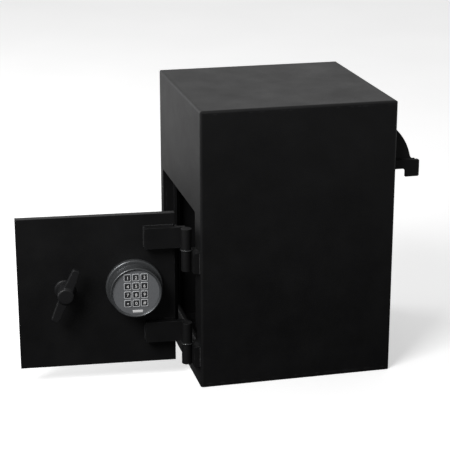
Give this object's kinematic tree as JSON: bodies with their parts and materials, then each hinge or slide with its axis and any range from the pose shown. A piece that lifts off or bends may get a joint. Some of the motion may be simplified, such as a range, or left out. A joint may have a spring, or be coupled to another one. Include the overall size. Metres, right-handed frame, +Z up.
{
  "type": "parcel drop box",
  "caption": "Welded steel parcel drop box with a keypad door on two pin hinges at the front and a lift-up rotary hopper at the rear.",
  "frame": {"origin": "centre of the cabinet's underside, the middle of its four anchor holes", "axes": "+Z up; -Y the front with the door; +Y the rear with the hopper; +X the hinge side"},
  "size_m": [0.3556, 0.72, 0.508],
  "materials": {
    "black_paint": "fine-textured black powder coat",
    "black_handle": "satin black",
    "bright_steel": "turned",
    "zinc_plate": "zinc plated",
    "lock_zinc": "die cast, bead blasted",
    "brass": "turned",
    "grey_diecast": "metallic grey lacquer",
    "grey_face": "metallic grey, satin",
    "badge_silver": "polished, blank",
    "key_plastic": "satin",
    "rubber": "moulded"
  },
  "bodies": {
    "cabinet": {"top_plate": "black_paint", "base_plate": "black_paint", "side_plate_left": "black_paint", "side_plate_right": "black_paint", "rear_plate": "black_paint", "front_plate": "black_paint", "door_liner": "black_paint", "door_stop": "black_paint", "hinge_leaf_upper": "black_paint", "hinge_leaf_lower": "black_paint", "hinge_pin_upper": "bright_steel", "hinge_pin_lower": "bright_steel", "hinge_washer_upper": "zinc_plate", "hinge_washer_lower": "zinc_plate", "hopper_bushes": "brass", "hopper_bearings": "black_paint", "hopper_pads": "rubber", "inner_baffle": "black_paint", "rear_comb": "black_paint"},
    "door": {"door_plate": "black_paint", "hinge_block_upper": "black_paint", "hinge_block_lower": "black_paint", "hinge_strap_upper": "black_paint", "hinge_strap_lower": "black_paint", "dead_bar": "black_paint", "keypad_ring": "grey_diecast", "keypad_body": "grey_diecast", "keypad_face": "grey_face", "keypad_badge": "badge_silver", "cable_tube": "bright_steel", "lock_case": "lock_zinc", "lock_screws": "bright_steel", "handle_rose": "black_handle", "handle_bush": "brass", "carriage_spacers": "brass", "carriage_screws": "bright_steel"},
    "handle": {"t_handle": "black_handle", "handle_crank": "zinc_plate"},
    "boltwork": {"bolt_carriage": "zinc_plate", "locking_bolts": "bright_steel", "bolt_nuts": "bright_steel"},
    "latch": {"lock_bolt": "brass"},
    "hopper": {"hopper_drum": "black_paint", "hopper_end_left": "black_paint", "hopper_end_right": "black_paint", "hopper_lift_plate": "black_paint", "hopper_grip": "black_paint", "hopper_stubs": "bright_steel"},
    "key_1": {"key_1": "key_plastic"},
    "key_2": {"key_2": "key_plastic"},
    "key_3": {"key_3": "key_plastic"},
    "key_4": {"key_4": "key_plastic"},
    "key_5": {"key_5": "key_plastic"},
    "key_6": {"key_6": "key_plastic"},
    "key_7": {"key_7": "key_plastic"},
    "key_8": {"key_8": "key_plastic"},
    "key_9": {"key_9": "key_plastic"},
    "key_star": {"key_star": "key_plastic"},
    "key_0": {"key_0": "key_plastic"},
    "key_hash": {"key_hash": "key_plastic"}
  },
  "joints": [
    {"name": "door_hinge", "type": "hinge", "parent": "cabinet", "child": "door", "pos_m": [0.1475, -0.19685, 0.1815], "axis": [0, 0, 1], "range_deg": [-85.5, 89.5]},
    {"name": "handle_turn", "type": "hinge", "parent": "door", "child": "handle", "pos_m": [0.10537, -0.40842, 0.1815], "axis": [-0.9969, 0.0785, 0], "range_deg": [-60, 0]},
    {"name": "boltwork_slide", "type": "slide", "parent": "door", "child": "boltwork", "axis": [-0.0785, -0.9969, 0], "range_m": [0, 0.027]},
    {"name": "latch_slide", "type": "slide", "parent": "door", "child": "latch", "axis": [0, 0, 1], "range_m": [0, 0.009]},
    {"name": "hopper_pivot", "type": "hinge", "parent": "cabinet", "child": "hopper", "pos_m": [0, 0.1178, 0.3785], "axis": [1, 0, 0], "range_deg": [0, 45]},
    {"name": "press_key_1", "type": "slide", "parent": "door", "child": "key_1", "axis": [-0.9969, 0.0785, 0], "range_m": [0, 0.0012], "stiffness_N_per_m": 600, "springref_m": -0.0006},
    {"name": "press_key_2", "type": "slide", "parent": "door", "child": "key_2", "axis": [-0.9969, 0.0785, 0], "range_m": [0, 0.0012], "stiffness_N_per_m": 600, "springref_m": -0.0006},
    {"name": "press_key_3", "type": "slide", "parent": "door", "child": "key_3", "axis": [-0.9969, 0.0785, 0], "range_m": [0, 0.0012], "stiffness_N_per_m": 600, "springref_m": -0.0006},
    {"name": "press_key_4", "type": "slide", "parent": "door", "child": "key_4", "axis": [-0.9969, 0.0785, 0], "range_m": [0, 0.0012], "stiffness_N_per_m": 600, "springref_m": -0.0006},
    {"name": "press_key_5", "type": "slide", "parent": "door", "child": "key_5", "axis": [-0.9969, 0.0785, 0], "range_m": [0, 0.0012], "stiffness_N_per_m": 600, "springref_m": -0.0006},
    {"name": "press_key_6", "type": "slide", "parent": "door", "child": "key_6", "axis": [-0.9969, 0.0785, 0], "range_m": [0, 0.0012], "stiffness_N_per_m": 600, "springref_m": -0.0006},
    {"name": "press_key_7", "type": "slide", "parent": "door", "child": "key_7", "axis": [-0.9969, 0.0785, 0], "range_m": [0, 0.0012], "stiffness_N_per_m": 600, "springref_m": -0.0006},
    {"name": "press_key_8", "type": "slide", "parent": "door", "child": "key_8", "axis": [-0.9969, 0.0785, 0], "range_m": [0, 0.0012], "stiffness_N_per_m": 600, "springref_m": -0.0006},
    {"name": "press_key_9", "type": "slide", "parent": "door", "child": "key_9", "axis": [-0.9969, 0.0785, 0], "range_m": [0, 0.0012], "stiffness_N_per_m": 600, "springref_m": -0.0006},
    {"name": "press_key_star", "type": "slide", "parent": "door", "child": "key_star", "axis": [-0.9969, 0.0785, 0], "range_m": [0, 0.0012], "stiffness_N_per_m": 600, "springref_m": -0.0006},
    {"name": "press_key_0", "type": "slide", "parent": "door", "child": "key_0", "axis": [-0.9969, 0.0785, 0], "range_m": [0, 0.0012], "stiffness_N_per_m": 600, "springref_m": -0.0006},
    {"name": "press_key_hash", "type": "slide", "parent": "door", "child": "key_hash", "axis": [-0.9969, 0.0785, 0], "range_m": [0, 0.0012], "stiffness_N_per_m": 600, "springref_m": -0.0006}
  ],
  "couplings": [
    {"joint": "boltwork_slide", "follows": "handle_turn", "m_per_rad": -0.025783},
    {"joint": "latch_slide", "follows": "handle_turn", "m_per_rad": -0.0085944}
  ]
}
